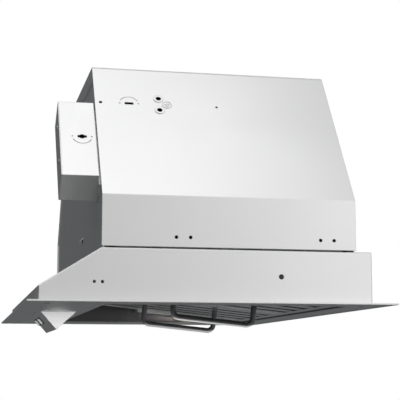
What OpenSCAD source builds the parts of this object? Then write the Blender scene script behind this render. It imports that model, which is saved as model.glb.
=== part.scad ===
/* [Canopy] */
// Length of the canopy from end to end
canopy_len = 716; // [640:2:860]
// Depth of the canopy from front to back
canopy_depth = 472; // [452:1:500]
// Height of the canopy above the face that the flange seats with
canopy_h = 75; // [70:1:85]
// Height of the upright strip along the front of the canopy
front_h = 22; // [18:1:28]
// Thickness of the steel sheet
sheet = 1.2; // [1:0.1:1.4]
// Width of the folded edges inside the canopy and the housing
lip_w = 14; // [12:1:18]
// Radius of the rounded edge of each canopy end
end_round = 1.5; // [1.5:0.5:4]

/* [Flange] */
// How far the flange stands out at each end
flange_side = 54; // [45:1:60]
// How far the flange stands out at the front and at the back
flange_edge = 18; // [15:1:24]
// Width of the folded hem under the rim of the flange
hem_w = 8; // [6:1:10]
// Diameter of the four fixing holes in the flange
fixing_d = 5; // [4:0.5:6]
// Distance of each fixing hole from the end of the flange
fixing_inset = 27; // [20:1:30]

/* [Filter opening] */
// Length of the opening in the pan
opening_len = 664; // [650:2:672]
// Distance of the opening from the front of the canopy
opening_front = 94; // [92:1:96]
// Distance of the opening from the back of the canopy
opening_back = 27; // [25:1:30]

/* [Housing] */
// Length of the housing above the canopy
house_len = 714; // [638:2:858]
// How far the housing stands back from the front of the canopy
house_front_set = 85; // [80:1:90]
// How far the housing stands in from the back of the canopy
house_back_set = 23; // [18:1:30]
// Height at which the ends of the housing start to lean in
crease_h = 149; // [130:1:165]
// Height of the top panel above the flange seat
house_h = 364; // [355:1:390]
// How far each end leans in between the crease and the top
slope_run = 148; // [120:1:160]
// Shadow gap between a canopy end and the housing end above it
shadow_gap = 2; // [1:0.5:3]
// Height of the top panel's front and rear skirt
skirt_h = 22; // [18:1:30]
// Height of the joining frame inside the foot of the housing
joining_h = 26; // [22:1:30]

/* [Filters] */
// Width of one baffle filter
filter_w = 287; // [280:1:292]
// Thickness of one baffle filter
filter_t = 22; // [18:1:24]
// Gap between the two filters
filter_gap = 3; // [2:0.5:5]
// Angle at which the filters rise towards the front
filter_tilt = 5.8; // [5:0.1:6.5]
// Thickness of the filter's own sheet
filter_sheet = 1; // [0.8:0.1:1.2]
// Width of the frame's lips around the baffles
filter_lip = 13; // [11:1:16]
// Number of lower baffles in one filter
baffle_n = 5; // [4:1:6]
// Width of a lower baffle
baffle_w = 34; // [30:1:36]
// Distance from one baffle to the next
baffle_pitch = 57; // [46:1:57]
// Diameter of the handle bar
bar_d = 9; // [7:0.5:10]
// Distance between the legs of a handle
handle_cc = 128; // [96:4:160]
// Drop from the filter's lower face to the underside of the handle bar
handle_drop = 37; // [32:1:42]
// Distance from the filter's rear edge to the nearer handle leg
handle_back = 88; // [60:1:110]
// Clearance between the rolled rail edge and a filter hook
hook_gap = 0.3; // [0.2:0.1:0.4]

/* [Controls] */
// Length of the triangular control housing
control_len = 204; // [180:2:240]
// Width of the control housing where it meets the pan
control_w = 56; // [50:1:58]
// Distance from the control housing's front edge to its lower edge
control_fall = 25; // [22:1:28]
// How far the control housing hangs below the pan
control_drop = 28; // [26:1:30]
// Distance from the front of the canopy to the control housing
control_set = 22; // [16:1:24]
// Length of a rocker key
key_len = 22; // [18:1:24]
// Height of a rocker key
key_w = 9.6; // [8:0.2:10]
// Distance of the light key from the end of the control housing
light_key_in = 22; // [18:1:30]
// Distance from the light key to the fan key
key_step = 72; // [36:1:90]

/* [Junction box] */
// Length of the junction box along the slope
box_len = 148; // [120:1:160]
// Width of the junction box from front to back
box_w = 51; // [45:1:56]
// Depth of the junction box square to the slope
box_deep = 52; // [46:1:58]
// Distance from the crease to the lower end of the junction box
box_up = 33; // [20:1:50]
// Gap between the junction box and the housing front
box_gap = 2.4; // [2:0.2:4]
// Diameter of a knockout
knockout_d = 28.6; // [22.2:0.1:28.6]

/* [Duct] */
// Outside diameter of the duct collar
collar_d = 151; // [125:1:158]
// Height of the duct collar above the top panel
collar_h = 28; // [26:1:30]
// Wall of the duct collar
collar_wall = 1; // [0.8:0.1:1.5]
// Diameter of the damper rod
rod_d = 4; // [3:0.5:5]

/* [Blower] */
// Diameter of the impeller
wheel_d = 148; // [130:1:152]
// Width of the impeller
wheel_w = 132; // [100:1:136]
// Number of impeller blades
blade_n = 32; // [24:1:40]
// Inside width of the blower scroll
scroll_w = 150; // [146:1:160]
// Diameter of each air inlet
inlet_d = 124; // [110:1:126]
// Diameter of the motor
motor_d = 80; // [60:1:90]
// Diameter of the motor shaft
shaft_d = 8; // [6:0.5:10]

/* [Hidden] */
$fn = 64;

// Colours of the finishes
steel = [0.80, 0.80, 0.79];
filter_steel = [0.70, 0.70, 0.69];
zinc = [0.66, 0.67, 0.68];
black = [0.10, 0.10, 0.10];
white = [0.93, 0.93, 0.91];

// Places that follow from the driving dimensions
front_y = -canopy_depth / 2;
back_y = canopy_depth / 2;
canopy_x = canopy_len / 2;
house_x = house_len / 2;
house_front_y = front_y + house_front_set;
house_back_y = back_y - house_back_set;
house_mid_y = (house_front_y + house_back_y) / 2;
house_depth = house_back_y - house_front_y;
top_x = house_x - slope_run;
slope_angle = atan2(slope_run, house_h - crease_h);
slope_len = norm([slope_run, house_h - crease_h]);
opening_y0 = front_y + opening_front;
opening_y1 = back_y - opening_back;
flange_x = canopy_x + flange_side;
flange_y = back_y + flange_edge;
pan_z = -sheet;
cut = 1;
touch = 0.3;

// Left-hand normal of a plane vector, and a vector of length one
function left_of(v) = [-v[1], v[0]];
function unit(v) = v / norm(v);

// A path moved sideways by d, mitred at its corners
function shifted(p, d) = [for (i = [0 : len(p) - 1])
    let (a = i == 0 ? left_of(unit(p[1] - p[0])) : left_of(unit(p[i] - p[i - 1])),
        b = i == len(p) - 1 ? a : left_of(unit(p[i + 1] - p[i])),
        m = a + b)
    p[i] + 2 * d * m / (m * m)];

// A path with its corners rounded to radius r
function rounded(p, r, n = 4) = [for (i = [0 : len(p) - 1])
    let (inner = i > 0 && i < len(p) - 1,
        a = inner ? unit(p[i - 1] - p[i]) : [0, 0],
        b = inner ? unit(p[i + 1] - p[i]) : [0, 0],
        half = inner ? acos(a * b) / 2 : 45,
        turn = 180 - 2 * half,
        centre = inner ? p[i] + unit(a + b) * r / sin(half) : p[i],
        first = p[i] + a * r / tan(half) - centre,
        last = p[i] + b * r / tan(half) - centre)
    each inner ? [for (k = [0 : n])
        centre + (first * sin(turn * (1 - k / n)) + last * sin(turn * k / n)) / sin(turn)] : [p[i]]];

function backwards(p) = [for (i = [len(p) - 1 : -1 : 0]) p[i]];

// Section of a sheet bent along a path, with its thickness on the left of the path
module bent(path, t = sheet, r = 2) {
    line = r > 0 ? rounded(path, r) : path;
    polygon(concat(line, backwards(shifted(line, t))));
}

// Extrude a section drawn in Y and Z along X, or one drawn in X and Z along Y
module along_x(length) {
    rotate([90, 0, 90]) linear_extrude(length, center = true) children();
}
module along_y(length) {
    rotate([90, 0, 0]) linear_extrude(length, center = true) children();
}
module drill_x(d, length) {
    rotate([0, 90, 0]) cylinder(d = d, h = length, center = true);
}
module drill_y(d, length) {
    rotate([90, 0, 0]) cylinder(d = d, h = length, center = true);
}

// Put children on the plane of the filters: the rear edge of the filters is at local y = 0
filter_rear_gap = 4.5;
filter_front_lap = 3.7;
filter_len = (opening_y1 - opening_y0 - filter_rear_gap + filter_front_lap) / cos(filter_tilt);
filter_rear_y = opening_y1 - filter_rear_gap;
filter_rear_z = 1;
module on_filter_plane() {
    translate([0, filter_rear_y, filter_rear_z]) rotate([-filter_tilt, 0, 0]) children();
}

// Put children on the right-hand slope: local x runs up from the crease and z stands out of it
module on_slope() {
    translate([house_x, 0, crease_h]) rotate([0, -90 - slope_angle, 0]) mirror([0, 0, 1]) children();
}

// Bottom pan
module bottom_pan() {
    color(steel) difference() {
        union() {
            translate([-flange_x, -flange_y, pan_z]) cube([2 * flange_x, 2 * flange_y, sheet]);
            difference() {
                translate([-flange_x, -flange_y, pan_z - sheet]) cube([2 * flange_x, 2 * flange_y, sheet]);
                translate([-flange_x + hem_w, -flange_y + hem_w, pan_z - sheet - cut])
                    cube([2 * (flange_x - hem_w), 2 * (flange_y - hem_w), sheet + cut]);
            }
        }
        translate([-opening_len / 2, opening_y0, pan_z - cut])
            cube([opening_len, opening_y1 - opening_y0, sheet + 2 * cut]);
        for (sx = [-1, 1], sy = [-1, 1])
            translate([sx * (flange_x - fixing_inset), sy * (flange_y - 2 * flange_edge), pan_z - cut])
                cylinder(d = fixing_d, h = sheet + 2 * cut);
        translate([-control_len / 2 + 8, control_y0 + 8, pan_z - cut])
            cube([control_len - 16, control_w - 26, sheet + 2 * cut]);
        pan_screw_places() cylinder(d = 3.6, h = 6, center = true);
    }
}

module pan_screw_places() {
    for (sx = [-1, 1], sy = [-1, 1])
        translate([sx * (canopy_x - lip_w / 2), sy * (back_y - lip_w + 1), 0]) children();
}
module pan_screws() {
    color(zinc) pan_screw_places() translate([0, 0, 4]) rotate([180, 0, 0]) pan_screw(3.2, 4 - pan_z, 8, 1.6);
}

// Canopy: the front and the rear stop at the rounded folds of the two ends
fold_x = end_round + 0.2;
module canopy_front() {
    color(steel) difference() {
        along_x(canopy_len - 2 * fold_x)
            bent(backwards([[front_y + lip_w, 0], [front_y, 0], [front_y, front_h],
                [house_front_y, canopy_h], [house_front_y + lip_w, canopy_h]]), r = 1.4);
        for (sx = [-1, 1])
            translate([sx * (canopy_x - 49), front_y, front_h / 2 + 3]) hull()
                for (sz = [-3, 3]) translate([0, 0, sz]) drill_y(4, 4 * sheet);
        pan_screw_places() cylinder(d = 3.4, h = 6, center = true);
    }
}
module canopy_rear() {
    color(steel) difference() {
        along_x(canopy_len - 2 * fold_x)
            bent([[back_y - lip_w, 0], [back_y, 0], [back_y, canopy_h], [house_back_y - lip_w, canopy_h]],
                r = 1.4);
        pan_screw_places() cylinder(d = 3.4, h = 6, center = true);
    }
}
module canopy_end_outline(inset) {
    offset(delta = -inset) polygon([[front_y, -sheet], [front_y, front_h], [house_front_y, canopy_h],
        [back_y, canopy_h], [back_y, -sheet]]);
}
module rounded_slab(inset, deep) {
    step = 0.2;
    hull() {
        along_x(step) canopy_end_outline(inset + end_round);
        translate([-0.3 * end_round, 0, 0]) along_x(step) canopy_end_outline(inset + 0.3 * end_round);
        translate([-(end_round + deep) / 2, 0, 0]) along_x(deep - end_round) canopy_end_outline(inset);
    }
}
plug_y = 102;
plug_z = 38;
plug_d = 7;
module canopy_end() {
    difference() {
        translate([canopy_x, 0, 0]) intersection() {
            union() {
                rounded_slab(0, fold_x - 0.2);
                rounded_slab(sheet, lip_w);
            }
            translate([-2 * lip_w, -canopy_depth, 0]) cube([4 * lip_w, 2 * canopy_depth, canopy_h]);
        }
        translate([canopy_x - sheet, 0, 0]) rounded_slab(2 * sheet, lip_w + 4);
        for (sy = [-1, 1]) translate([canopy_x - 2 * lip_w, sy * (back_y - end_round) - lip_w - 1, -cut])
            cube([2 * lip_w - fold_x, 2 * lip_w + 2, sheet + cut]);
        for (dy = [-5.5, 5.5]) translate([canopy_x, house_front_y - 4 + dy, 27.7]) drill_x(4.4, 8 * sheet);
        translate([canopy_x, plug_y, plug_z]) drill_x(plug_d, 8 * sheet);
        pan_screw_places() cylinder(d = 3.4, h = 10, center = true);
    }
}
module canopy_end_right() {
    color(steel) canopy_end();
}
module canopy_end_left() {
    color(steel) mirror([1, 0, 0]) canopy_end();
}
module side_plugs() {
    color(zinc) for (s = [-1, 1]) translate([s * (canopy_x - sheet / 2), plug_y, plug_z]) {
        drill_x(plug_d, sheet);
        translate([s * (sheet / 2 + 0.5), 0, 0]) drill_x(plug_d - 2.4, 1);
    }
}

// Joining frame: four angles inside the foot of the housing
screw_z = canopy_h + 15.7;
pair_y = [house_mid_y - 68.5, house_mid_y + 139.5];
module joining_frame() {
    leg_x = house_x - sheet;
    leg_y0 = wall_y0 + sheet;
    leg_y1 = wall_y1 - sheet;
    angle_end = [[lip_w, 0], [0, 0], [0, joining_h]];
    angle_side = [[lip_w, 0], [7, 0], [0, 8], [0, joining_h]];
    color(zinc) {
        for (s = [0, 1]) mirror([s, 0, 0]) difference() {
            translate([leg_x, (leg_y0 + leg_y1) / 2, canopy_h - sheet])
                along_y(leg_y1 - leg_y0 - 2 * lip_w - 2)
                    mirror([1, 0, 0]) bent(backwards(angle_side), r = 0);
            for (y = pair_y, dy = [-10, 10]) translate([leg_x, y + dy, screw_z]) drill_x(4.8, 4 * sheet);
        }
        translate([0, leg_y0, canopy_h]) along_x(2 * (leg_x - lip_w - 2)) bent(backwards(angle_end), r = 0);
        translate([0, leg_y1, canopy_h]) along_x(2 * (leg_x - lip_w - 2))
            mirror([1, 0, 0]) bent(backwards(angle_end), r = 0);
    }
}

// Housing
slope_w = slope_run / (house_h - crease_h);
panel_inset = sheet / cos(slope_angle) + 0.05;
// The front and the rear stand back from the edges of the ends by the thickness of the hemmed skirt
wall_set = 2 * sheet;
wall_y0 = house_front_y + wall_set;
wall_y1 = house_back_y - wall_set;
module housing_outline(z0, inset) {
    polygon([[-house_x + inset, z0], [-house_x + inset, crease_h], [-top_x + inset, house_h],
        [top_x - inset, house_h], [house_x - inset, crease_h], [house_x - inset, z0]]);
}
module housing_end(right) {
    band = [[house_x, canopy_h + shadow_gap], [house_x, crease_h], [top_x + sheet * slope_w, house_h - sheet],
        [top_x - lip_w, house_h - sheet]];
    lip_line = [band[0] + [0, 2], band[1], band[2] + [sheet * slope_w, -sheet]];
    difference() {
        union() {
            translate([0, house_mid_y, 0]) along_y(house_depth) bent(band, r = 2.5);
            for (y = [wall_y0 + 1.5 * sheet, wall_y1 - 1.5 * sheet])
                translate([0, y, 0]) along_y(sheet)
                    polygon(concat(shifted(lip_line, sheet / 2), backwards(shifted(lip_line, lip_w))));
        }
        for (y = [house_front_y, house_back_y]) translate([0, y, 0]) along_y(2 * wall_set + 0.1) intersection() {
            housing_outline(crease_h, panel_inset - 0.05);
            translate([-house_x, house_h - 3 * sheet - 2]) square([2 * house_x, 3 * sheet + 2]);
        }
        for (y = pair_y, dy = [-10, 10]) translate([house_x, y + dy, screw_z]) drill_x(4.8, 8 * sheet);
        if (right) on_slope() {
            slope_holes();
            translate([feature_up, knockout_y, 0]) rotate(-90) knockout_cut(sheet);
        }
    }
}
// Features on the right-hand slope, all on one line above the crease
feature_up = 184;
knockout_y = -100;
clamp_y = -55;
clamp_step = 24.6;
earth_y = -43;
module slope_holes() {
    for (u = [-1, 1]) translate([feature_up + u * clamp_step / 2, clamp_y, 0]) cylinder(d = 8, h = 6, center = true);
    translate([feature_up, house_front_y + 8.5, 0]) cylinder(d = 5, h = 6, center = true);
    translate([feature_up, 33, 0]) cylinder(d = 3.6, h = 6, center = true);
}
// A knockout: an arc of its ring is cut through, a nick stands at each end, and a slot prises it out
module knockout_cut(t) {
    slit = 0.7;
    arc_from = 0.38 * knockout_d / 2;
    difference() {
        cylinder(d = knockout_d, h = 4 * t, center = true);
        cylinder(d = knockout_d - 2 * slit, h = 6 * t, center = true);
        translate([-knockout_d, arc_from - 2 * knockout_d, -3 * t]) cube([2 * knockout_d, 2 * knockout_d, 6 * t]);
    }
    for (s = [-1, 1]) translate([s * (knockout_d / 2 - 0.4), 0, 0]) cube([1.8, 1.6, 4 * t], center = true);
    cube([13, 4.6, 4 * t], center = true);
}
module housing_end_right() {
    color(steel) {
        housing_end(true);
        on_slope() for (u = [-1, 1]) translate([feature_up + u * clamp_step / 2, clamp_y, 0]) difference() {
            cylinder(d = 15, h = 1);
            cylinder(d = 8, h = 3, center = true);
        }
        on_slope() translate([feature_up, earth_y, 0]) {
            difference() {
                cylinder(d = 15, h = 0.7);
                translate([0, 0, 0.1]) cylinder(d = 12.6, h = 1);
            }
            cube([8, 1.2, 1.2], center = true);
            for (k = [0 : 2]) translate([-4 + 2.4 * k, 0, 0]) cube([1.1, 3 + 2.6 * k, 1.2], center = true);
        }
    }
}
module housing_end_left() {
    color(steel) mirror([1, 0, 0]) housing_end(false);
}
// Lanced vent in the housing front: the slot and the tongue pressed out above it
vent_x = 84;
vent_z = 112;
module housing_front() {
    color(steel) {
        difference() {
            translate([0, wall_y0 + sheet / 2, 0]) along_y(sheet) intersection() {
                housing_outline(canopy_h, panel_inset);
                translate([-house_x, 0]) square([2 * house_x, house_h - 2 * sheet - 0.1]);
            }
            translate([top_x + 34, wall_y0, canopy_h + 40]) drill_y(5, 8 * sheet);
            translate([vent_x, wall_y0, vent_z]) cube([20, 8 * sheet, 8], center = true);
            on_box() translate([box_len / 2, box_w + box_gap + wall_set, box_deep / 2]) drill_y(22, 12);
        }
        translate([vent_x, wall_y0, vent_z + 4]) along_x(20)
            polygon([[0, 0], [-5, -6], [-5, -7], [sheet, -0.5], [sheet, 0]]);
    }
}
module housing_rear() {
    color(steel) translate([0, wall_y1 - sheet / 2, 0]) along_y(sheet) intersection() {
        housing_outline(canopy_h, panel_inset);
        translate([-house_x, 0]) square([2 * house_x, house_h - 2 * sheet - 0.1]);
    }
}
duct_y = house_mid_y;
screw_ring_d = collar_d + 20;
module top_panel() {
    color(steel) difference() {
        union() {
            translate([-top_x, house_front_y, house_h - sheet]) cube([2 * top_x, house_depth, sheet]);
            for (y = [house_front_y + wall_set / 2, house_back_y - wall_set / 2])
                translate([0, y, 0]) along_y(wall_set) intersection() {
                    housing_outline(crease_h - 1, panel_inset);
                    translate([-house_x, house_h - skirt_h]) square([2 * house_x, skirt_h - sheet / 2]);
                }
        }
        translate([0, duct_y, house_h - 4]) cylinder(d = collar_d + 1, h = 8, $fn = 96);
        for (a = [45 : 90 : 315]) translate([0, duct_y, 0]) rotate(a)
            translate([screw_ring_d / 2, 0, house_h - 4]) cylinder(d = 3.2, h = 8);
        for (s = [-1, 1], y = blower_screw_y) translate([s * (scroll_w / 2 + 8), y, house_h - 4])
            cylinder(d = 4.2, h = 8);
    }
}

// Duct collar and damper
rod_z = house_h + 10;
collar_r = collar_d / 2;
flap_r = collar_r - collar_wall - 1.3;
flap_t = 1;
knuckle_r = rod_d / 2 + 1.2;
rod_fit = 0.06;
module duct_collar() {
    rod_seat = 2 * (collar_r - collar_wall);
    color(zinc) difference() {
        union() {
            translate([0, duct_y, house_h]) rotate_extrude($fn = 128) {
                translate([collar_r - collar_wall, 0]) square([collar_wall, collar_h]);
                translate([collar_r - collar_wall, 0])
                    square([screw_ring_d / 2 + 6 - collar_r + collar_wall, sheet]);
                translate([collar_r - collar_wall - 4, rod_z - house_h - flap_t / 2 - touch - 1])
                    square([4.5, 1]);
            }
            for (s = [-1, 1]) translate([s * (rod_seat / 2 - 1.8), duct_y, rod_z]) drill_x(2 * knuckle_r, 4.2);
        }
        for (a = [45 : 90 : 315]) translate([0, duct_y, 0]) rotate(a)
            translate([screw_ring_d / 2, 0, house_h - 2]) cylinder(d = 3.2, h = 8);
        translate([0, duct_y, rod_z]) drill_x(rod_d + 2 * rod_fit, rod_seat + 0.2);
    }
}
module damper_rod() {
    color(zinc) translate([0, duct_y, rod_z]) drill_x(rod_d, 2 * (collar_r - collar_wall) - 0.6);
}
// One flap: a half disc and its two knuckles on the rod, drawn towards the back
module damper_flap(knuckles) {
    inner = knuckle_r + 0.5;
    translate([0, duct_y, rod_z]) {
        difference() {
            translate([0, 0, -flap_t / 2]) cylinder(r = flap_r, h = flap_t, $fn = 96);
            translate([-flap_r - 1, -flap_r - 1, -flap_t]) cube([2 * flap_r + 2, flap_r + 1 + inner, 2 * flap_t]);
        }
        for (x = knuckles) difference() {
            union() {
                translate([x, 0, 0]) drill_x(2 * knuckle_r, 24);
                translate([x - 12, 0, -flap_t / 2]) cube([24, inner + 1, flap_t]);
            }
            translate([x, 0, 0]) drill_x(rod_d + 2 * rod_fit, 26);
        }
    }
}
module damper_flap_rear() {
    color(zinc) damper_flap([-46, 14]);
}
module damper_flap_front() {
    color(zinc) translate([0, 2 * duct_y, 0]) mirror([0, 1, 0]) damper_flap([-14, 46]);
}
module pan_screw(d, h, head_d, head_h) {
    cylinder(d = d, h = h);
    translate([0, 0, h]) cylinder(d = head_d, h = head_h);
}
module collar_screws() {
    color(zinc) for (a = [45 : 90 : 315]) translate([0, duct_y, 0]) rotate(a)
        translate([screw_ring_d / 2, 0, house_h - 4]) pan_screw(3, 4 + sheet, 6.4, 2);
}

// Junction box on the housing front, leaning with the slope
module on_box() {
    on_slope() translate([box_up, house_front_y - box_gap - box_w, -box_deep]) children();
}
module junction_box() {
    color(steel) on_box() difference() {
        cube([box_len, box_w, box_deep]);
        translate([sheet, -cut, sheet]) cube([box_len - 2 * sheet, box_w - sheet + cut, box_deep - 2 * sheet]);
        translate([box_len * 0.52, box_w * 0.61, box_deep]) {
            rotate(90) knockout_cut(sheet);
            cylinder(d = 8.4, h = 4 * sheet, center = true);
        }
        translate([box_len / 2, box_w, box_deep / 2]) drill_y(22, 6);
    }
    color(steel) on_box() difference() {
        for (u = cover_screw_u) translate([u - 6, 0, box_deep - 26]) cube([12, sheet, 26 - sheet / 2]);
        for (u = cover_screw_u) translate([u, 0, box_deep - cover_screw_in]) drill_y(3.2, 6);
    }
}
module junction_box_cover() {
    color(steel) on_box() difference() {
        translate([0, -sheet, 0]) cube([box_len, sheet, box_deep]);
        for (u = cover_screw_u) translate([u, 0, box_deep - cover_screw_in]) drill_y(3.6, 6);
    }
}
cover_screw_u = [box_len * 0.3, box_len * 0.76];
cover_screw_in = 20;
module junction_cover_screws() {
    color(zinc) on_box() for (u = cover_screw_u)
        translate([u, 6 - sheet, box_deep - cover_screw_in]) rotate([90, 0, 0]) pan_screw(3, 6, 7, 2);
}
module junction_box_bracket() {
    color(zinc) on_box() difference() {
        translate([-9, box_w, 6]) cube([box_len + 1, box_gap + wall_set, box_deep - 14]);
        translate([box_len / 2, box_w, box_deep / 2]) drill_y(22, 12);
    }
}

// Opening: front rail with the rolled edge, rear rail, side baffles and centre bar
bead_r = 3;
hook_in = 5.2;
hook_up = 4.5;
hook_local = [-filter_len - hook_in, hook_up];
bead_y = filter_rear_y + hook_local[0] * cos(filter_tilt) + hook_local[1] * sin(filter_tilt);
bead_z = filter_rear_z - hook_local[0] * sin(filter_tilt) + hook_local[1] * cos(filter_tilt);
rail_len = opening_len - 2;
shelf_z = filter_t + 0.8;
module front_rail() {
    foot_y = bead_y - 7.5;
    color(steel) {
        translate([0, bead_y, bead_z]) drill_x(2 * bead_r, rail_len);
        along_x(rail_len) bent([[foot_y - 12, 0], [foot_y, 0], [foot_y, bead_z - 11], [bead_y - 0.5, bead_z - 1.2]],
            r = 0);
    }
}
module rear_rail() {
    color(steel) along_x(rail_len)
        bent([[opening_y1 - 14, filter_t + 4], [opening_y1, filter_t + 4], [opening_y1, 0], [opening_y1 + 12, 0]],
            r = 0);
}
module side_baffle() {
    wall_x = opening_len / 2;
    top_z = [filter_t + 2, filter_t + 2 + (opening_y1 - opening_y0) * tan(filter_tilt)];
    difference() {
        translate([wall_x + sheet / 2, 0, 0]) along_x(sheet)
            polygon([[opening_y0 - 6, 0], [opening_y1, 0], [opening_y1, top_z[0]], [opening_y0 - 6, top_z[1]]]);
        translate([wall_x, bead_y, bead_z]) drill_x(3, 8);
    }
    translate([wall_x, opening_y0 + 20, 0])
        cube([canopy_x - lip_w - wall_x - 0.6, opening_y1 - opening_y0 - 40, sheet]);
    on_filter_plane() translate([filter_gap / 2 + filter_w - 8, -filter_len, shelf_z])
        cube([wall_x + sheet / 2 - filter_gap / 2 - filter_w + 8, filter_len - 16, sheet]);
}
module side_baffle_right() {
    color(steel) side_baffle();
}
module side_baffle_left() {
    color(steel) mirror([1, 0, 0]) side_baffle();
}
module centre_bar() {
    half = 17;
    front_tab = filter_len - 3;
    color(steel) on_filter_plane() {
        translate([0, -(front_tab + 16) / 2, 0]) along_y(front_tab - 16)
            bent([[-half, shelf_z + 9], [-half, shelf_z], [half, shelf_z], [half, shelf_z + 9]], r = 0);
        translate([-half, -front_tab, shelf_z]) cube([2 * half, sheet, 12]);
    }
}
// Spring strips: each grips the outer side of a filter
module side_springs() {
    filter_x = filter_gap / 2 + filter_w;
    wall_x = opening_len / 2;
    t = 0.8;
    lip_x = filter_x + (wall_x - filter_x) / 3;
    guide_x = filter_x + (wall_x - filter_x) / 9;
    color(zinc) for (s = [0, 1]) mirror([s, 0, 0]) on_filter_plane() translate([0, -filter_len / 2 + 3.5, 0])
        along_y(66) bent([[wall_x - t, filter_t], [wall_x - t, -2.2], [lip_x, -2.2], [lip_x, 1.5],
            [filter_x + 0.4 + t, 9], [guide_x, 15]], t, 0);
}

// Filters: drawn for the right-hand side in the filters' own plane
filter_mid_x = filter_gap / 2 + filter_w / 2;
module filter_frame() {
    w = filter_w / 2;
    t = filter_sheet;
    on_filter_plane() translate([filter_mid_x, 0, 0]) {
        difference() {
            translate([-w, -filter_len, 0]) cube([filter_w, filter_len, filter_t]);
            translate([t - w, t - filter_len, t]) cube([filter_w - 2 * t, filter_len - 2 * t, filter_t - 2 * t]);
            translate([filter_lip - w, filter_lip - filter_len, -cut])
                cube([filter_w - 2 * filter_lip, filter_len - 2 * filter_lip, filter_t + 2 * cut]);
        }
        for (x = [-80, 80]) translate([x, hook_local[0], hook_local[1]]) difference() {
            union() {
                drill_x(2 * (bead_r + hook_gap + 1.2), 30);
                translate([-15, bead_r + hook_gap + 0.3, -0.4]) cube([30, hook_in - bead_r - hook_gap, 3]);
            }
            drill_x(2 * (bead_r + hook_gap), 32);
            along_x(32) polygon([[0, 0], [-9, 0], [-9, -9], [9, -9], [9, -0.9]]);
        }
    }
}
// Two layers of channels facing each other, half a step apart
module filter_baffles() {
    h = 9;
    t = filter_sheet;
    length = filter_len - 2 * t - 1;
    on_filter_plane() translate([filter_mid_x, -filter_len / 2, 0]) {
        for (i = [0 : baffle_n - 1]) translate([(i - (baffle_n - 1) / 2) * baffle_pitch, 0, t]) along_y(length)
            bent([[-baffle_w / 2, h], [-baffle_w / 2, 0], [baffle_w / 2, 0], [baffle_w / 2, h]], t, 0);
        for (i = [0 : baffle_n]) translate([(i - baffle_n / 2) * baffle_pitch, 0, filter_t - t])
            baffle_top(length, min(baffle_w / 2, filter_w / 2 - t - 0.4 - abs(i - baffle_n / 2) * baffle_pitch),
                i == 0 ? -1 : i == baffle_n ? 1 : 0);
    }
}
module baffle_top(length, room, side) {
    h = 9;
    t = filter_sheet;
    x0 = side < 0 ? -room : -baffle_w / 2;
    x1 = side > 0 ? room : baffle_w / 2;
    along_y(length) bent([[x1, -h], [x1, 0], [x0, 0], [x0, -h]], t, 0);
}
// Round bar handle: two legs, two bends and the grip
module filter_handle() {
    bend = 11;
    drop = handle_drop - bar_d / 2;
    on_filter_plane() translate([filter_mid_x, -handle_back, 0]) {
        for (e = [0, 1]) translate([0, -e * handle_cc, 0]) {
            translate([0, 0, bend - drop]) cylinder(d = bar_d, h = drop - bend + filter_sheet);
            translate([0, (e == 0 ? -1 : 1) * bend, bend - drop]) rotate([0, 90, 0]) rotate(e == 0 ? 0 : 270)
                rotate_extrude(angle = 90) translate([bend, 0]) circle(d = bar_d);
        }
        translate([0, -handle_cc / 2, -drop]) drill_y(bar_d, handle_cc - 2 * bend);
    }
}
module filter_right_frame() {
    color(filter_steel) filter_frame();
}
module filter_right_baffles() {
    color(filter_steel) filter_baffles();
}
module filter_right_handle() {
    color(black) filter_handle();
}
module filter_left_frame() {
    color(filter_steel) mirror([1, 0, 0]) filter_frame();
}
module filter_left_baffles() {
    color(filter_steel) mirror([1, 0, 0]) filter_baffles();
}
module filter_left_handle() {
    color(black) mirror([1, 0, 0]) filter_handle();
}

// Control housing under the front of the pan
control_y0 = front_y + control_set;
control_a = [control_y0, pan_z];
control_b = [control_y0 + control_fall, pan_z - control_drop];
control_c = [control_y0 + control_w, pan_z];
cap_t = 1.2;
face_angle = atan2(control_drop, control_fall);
back_angle = atan2(control_drop, control_w - control_fall);
key_down = 13.5;
lens_len = 150;
lens_w = 12;
// Local y runs down the front face and z points into the housing
module on_control_face() {
    translate([0, control_a[0], control_a[1]]) rotate([-face_angle, 0, 0]) children();
}
// Local y runs up the rear face and z points into the housing
module on_control_back() {
    translate([0, control_b[0], control_b[1]]) rotate([back_angle, 0, 0]) children();
}
light_key_x = light_key_in - control_len / 2;
fan_key_x = light_key_x + key_step;
module control_housing() {
    lip = 7;
    color(steel) difference() {
        along_x(control_len - 2 * cap_t) bent([control_a + [lip, 0], control_a, control_b, control_c,
            control_c - [lip, 0]], 1, 0);
        on_control_face() for (x = [fan_key_x, light_key_x]) translate([x, key_down, 0])
            cube([key_len + 1.6, key_w + 1.6, 6], center = true);
        on_control_back() translate([0, control_slant / 2, 0]) cube([lens_len, lens_w, 6], center = true);
    }
}
control_slant = norm(control_c - control_b);
module control_end_caps() {
    color(steel) for (s = [-1, 1]) {
        translate([s * (control_len / 2 - cap_t / 2), 0, 0]) along_x(cap_t) polygon([control_a, control_b, control_c]);
        translate([s * (control_len / 2 - cap_t - 4), 0, 0]) along_x(8) difference() {
            offset(delta = -1.05) polygon([control_a, control_b, control_c]);
            offset(delta = -2.05) polygon([control_a, control_b, control_c]);
        }
    }
}
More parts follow.
